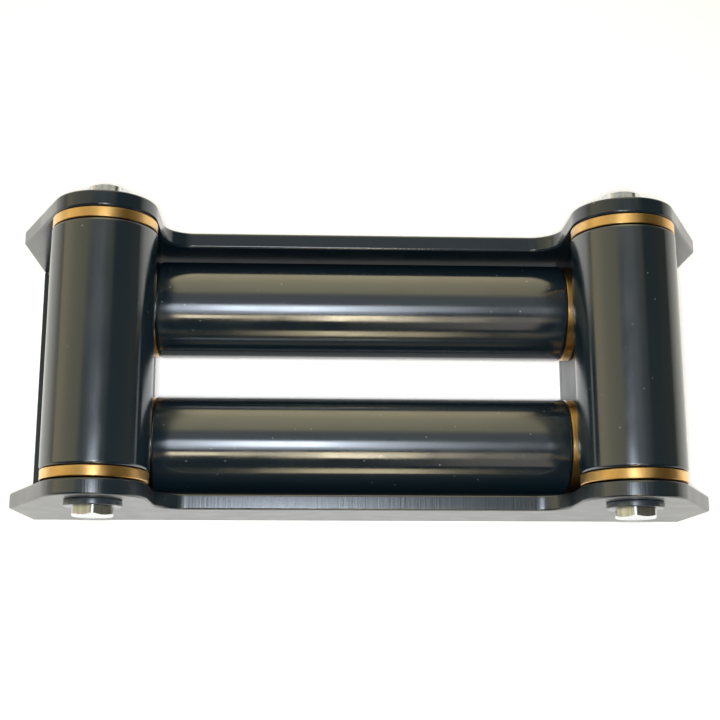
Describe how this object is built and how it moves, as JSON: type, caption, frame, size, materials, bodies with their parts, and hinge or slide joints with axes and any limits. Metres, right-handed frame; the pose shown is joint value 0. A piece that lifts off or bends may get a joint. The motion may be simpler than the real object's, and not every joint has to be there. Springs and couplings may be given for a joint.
{
  "type": "roller fairlead",
  "caption": "Welded plate frame that guides a wire rope through a wide window between crossed pairs of free-turning rollers on bolt axles with bronze thrust washers.",
  "frame": {"origin": "centre of the back mounting face, midway between the two mounting slots", "axes": "+X along the fairlead, +Y from the lower plate to the upper plate, +Z out of the mounting face towards the arriving rope"},
  "size_m": [0.349, 0.1604, 0.1184],
  "materials": {
    "frame_paint": "gloss black enamel",
    "weld_paint": "gloss black enamel over weld beads",
    "roller_paint": "gloss black over turned steel",
    "thrust_bronze": "turned bronze",
    "bush_bronze": "sintered bronze",
    "zinc_steel": "bright zinc plate",
    "black_washer": "black oxide"
  },
  "bodies": {
    "frame": {"top_plate": "frame_paint", "bottom_plate": "frame_paint", "left_cheek": "frame_paint", "right_cheek": "frame_paint", "left_flange": "frame_paint", "right_flange": "frame_paint", "left_weld_beads": "weld_paint", "right_weld_beads": "weld_paint", "left_thrust_washers": "thrust_bronze", "right_thrust_washers": "thrust_bronze", "upper_thrust_washers": "thrust_bronze", "lower_thrust_washers": "thrust_bronze", "left_axle_bolt": "zinc_steel", "right_axle_bolt": "zinc_steel", "upper_axle_bolt": "zinc_steel", "lower_axle_bolt": "zinc_steel", "vertical_flat_washers": "black_washer", "horizontal_flat_washers": "black_washer", "vertical_nuts": "zinc_steel", "horizontal_nuts": "zinc_steel"},
    "left_roller_body": {"left_roller": "roller_paint", "left_roller_bushes": "bush_bronze"},
    "right_roller_body": {"right_roller": "roller_paint", "right_roller_bushes": "bush_bronze"},
    "upper_roller_body": {"upper_roller": "roller_paint", "upper_roller_bushes": "bush_bronze"},
    "lower_roller_body": {"lower_roller": "roller_paint", "lower_roller_bushes": "bush_bronze"}
  },
  "joints": [
    {"name": "left_roller_spin", "type": "hinge", "parent": "frame", "child": "left_roller_body", "pos_m": [-0.127, 0, 0.093], "axis": [0, 1, 0], "continuous": true},
    {"name": "right_roller_spin", "type": "hinge", "parent": "frame", "child": "right_roller_body", "pos_m": [0.127, 0, 0.093], "axis": [0, 1, 0], "continuous": true},
    {"name": "upper_roller_spin", "type": "hinge", "parent": "frame", "child": "upper_roller_body", "pos_m": [0, 0.0364, 0.0315], "axis": [1, 0, 0], "continuous": true},
    {"name": "lower_roller_spin", "type": "hinge", "parent": "frame", "child": "lower_roller_body", "pos_m": [0, -0.0364, 0.0315], "axis": [1, 0, 0], "continuous": true}
  ]
}
